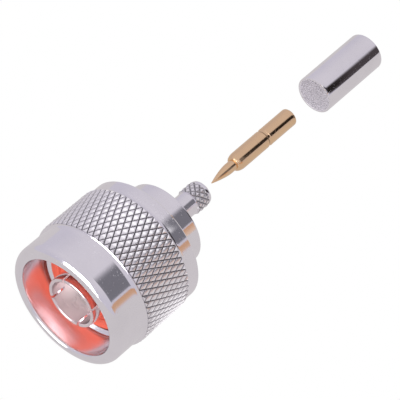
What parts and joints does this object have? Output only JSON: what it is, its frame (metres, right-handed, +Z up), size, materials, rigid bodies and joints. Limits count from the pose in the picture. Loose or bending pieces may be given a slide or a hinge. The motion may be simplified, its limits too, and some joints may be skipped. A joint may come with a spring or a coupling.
{
  "type": "n type connector",
  "caption": "Crimp cable plug with a knurled screw coupling nut, slotted contact sleeve, loose gold centre pin and loose crimp ferrule on one axis.",
  "frame": {"origin": "on the plug's axis, in the plane of the coupling nut's front face", "axes": "+Y along the plug's axis from the mating face towards the cable, +Z up"},
  "size_m": [0.0206, 0.0674, 0.0206],
  "materials": {
    "nut_nickel": "polished nickel plate",
    "spring_wire": "spring steel",
    "red_silicone": "satin silicone rubber",
    "sleeve_silver": "polished silver plate",
    "body_nickel": "polished nickel plate",
    "ptfe": "satin white plastic",
    "pin_gold": "polished gold plate",
    "ferrule_silver": "polished nickel plate"
  },
  "bodies": {
    "plug": {"crimp_body": "body_nickel", "contact_sleeve": "sleeve_silver", "insulator": "ptfe", "gasket": "red_silicone", "retaining_ring": "spring_wire"},
    "nut": {"coupling_nut": "nut_nickel"},
    "pin": {"centre_pin": "pin_gold"},
    "ferrule": {"crimp_ferrule": "ferrule_silver"}
  },
  "joints": [
    {"name": "nut_spin", "type": "hinge", "parent": "plug", "child": "nut", "pos_m": [0, 0, 0], "axis": [0, 1, 0], "continuous": true},
    {"name": "pin_slide", "type": "slide", "parent": "plug", "child": "pin", "axis": [0, 1, 0], "range_m": [-0.0293, 0]},
    {"name": "ferrule_slide", "type": "slide", "parent": "plug", "child": "ferrule", "axis": [0, 1, 0], "range_m": [-0.0335, 0]}
  ]
}
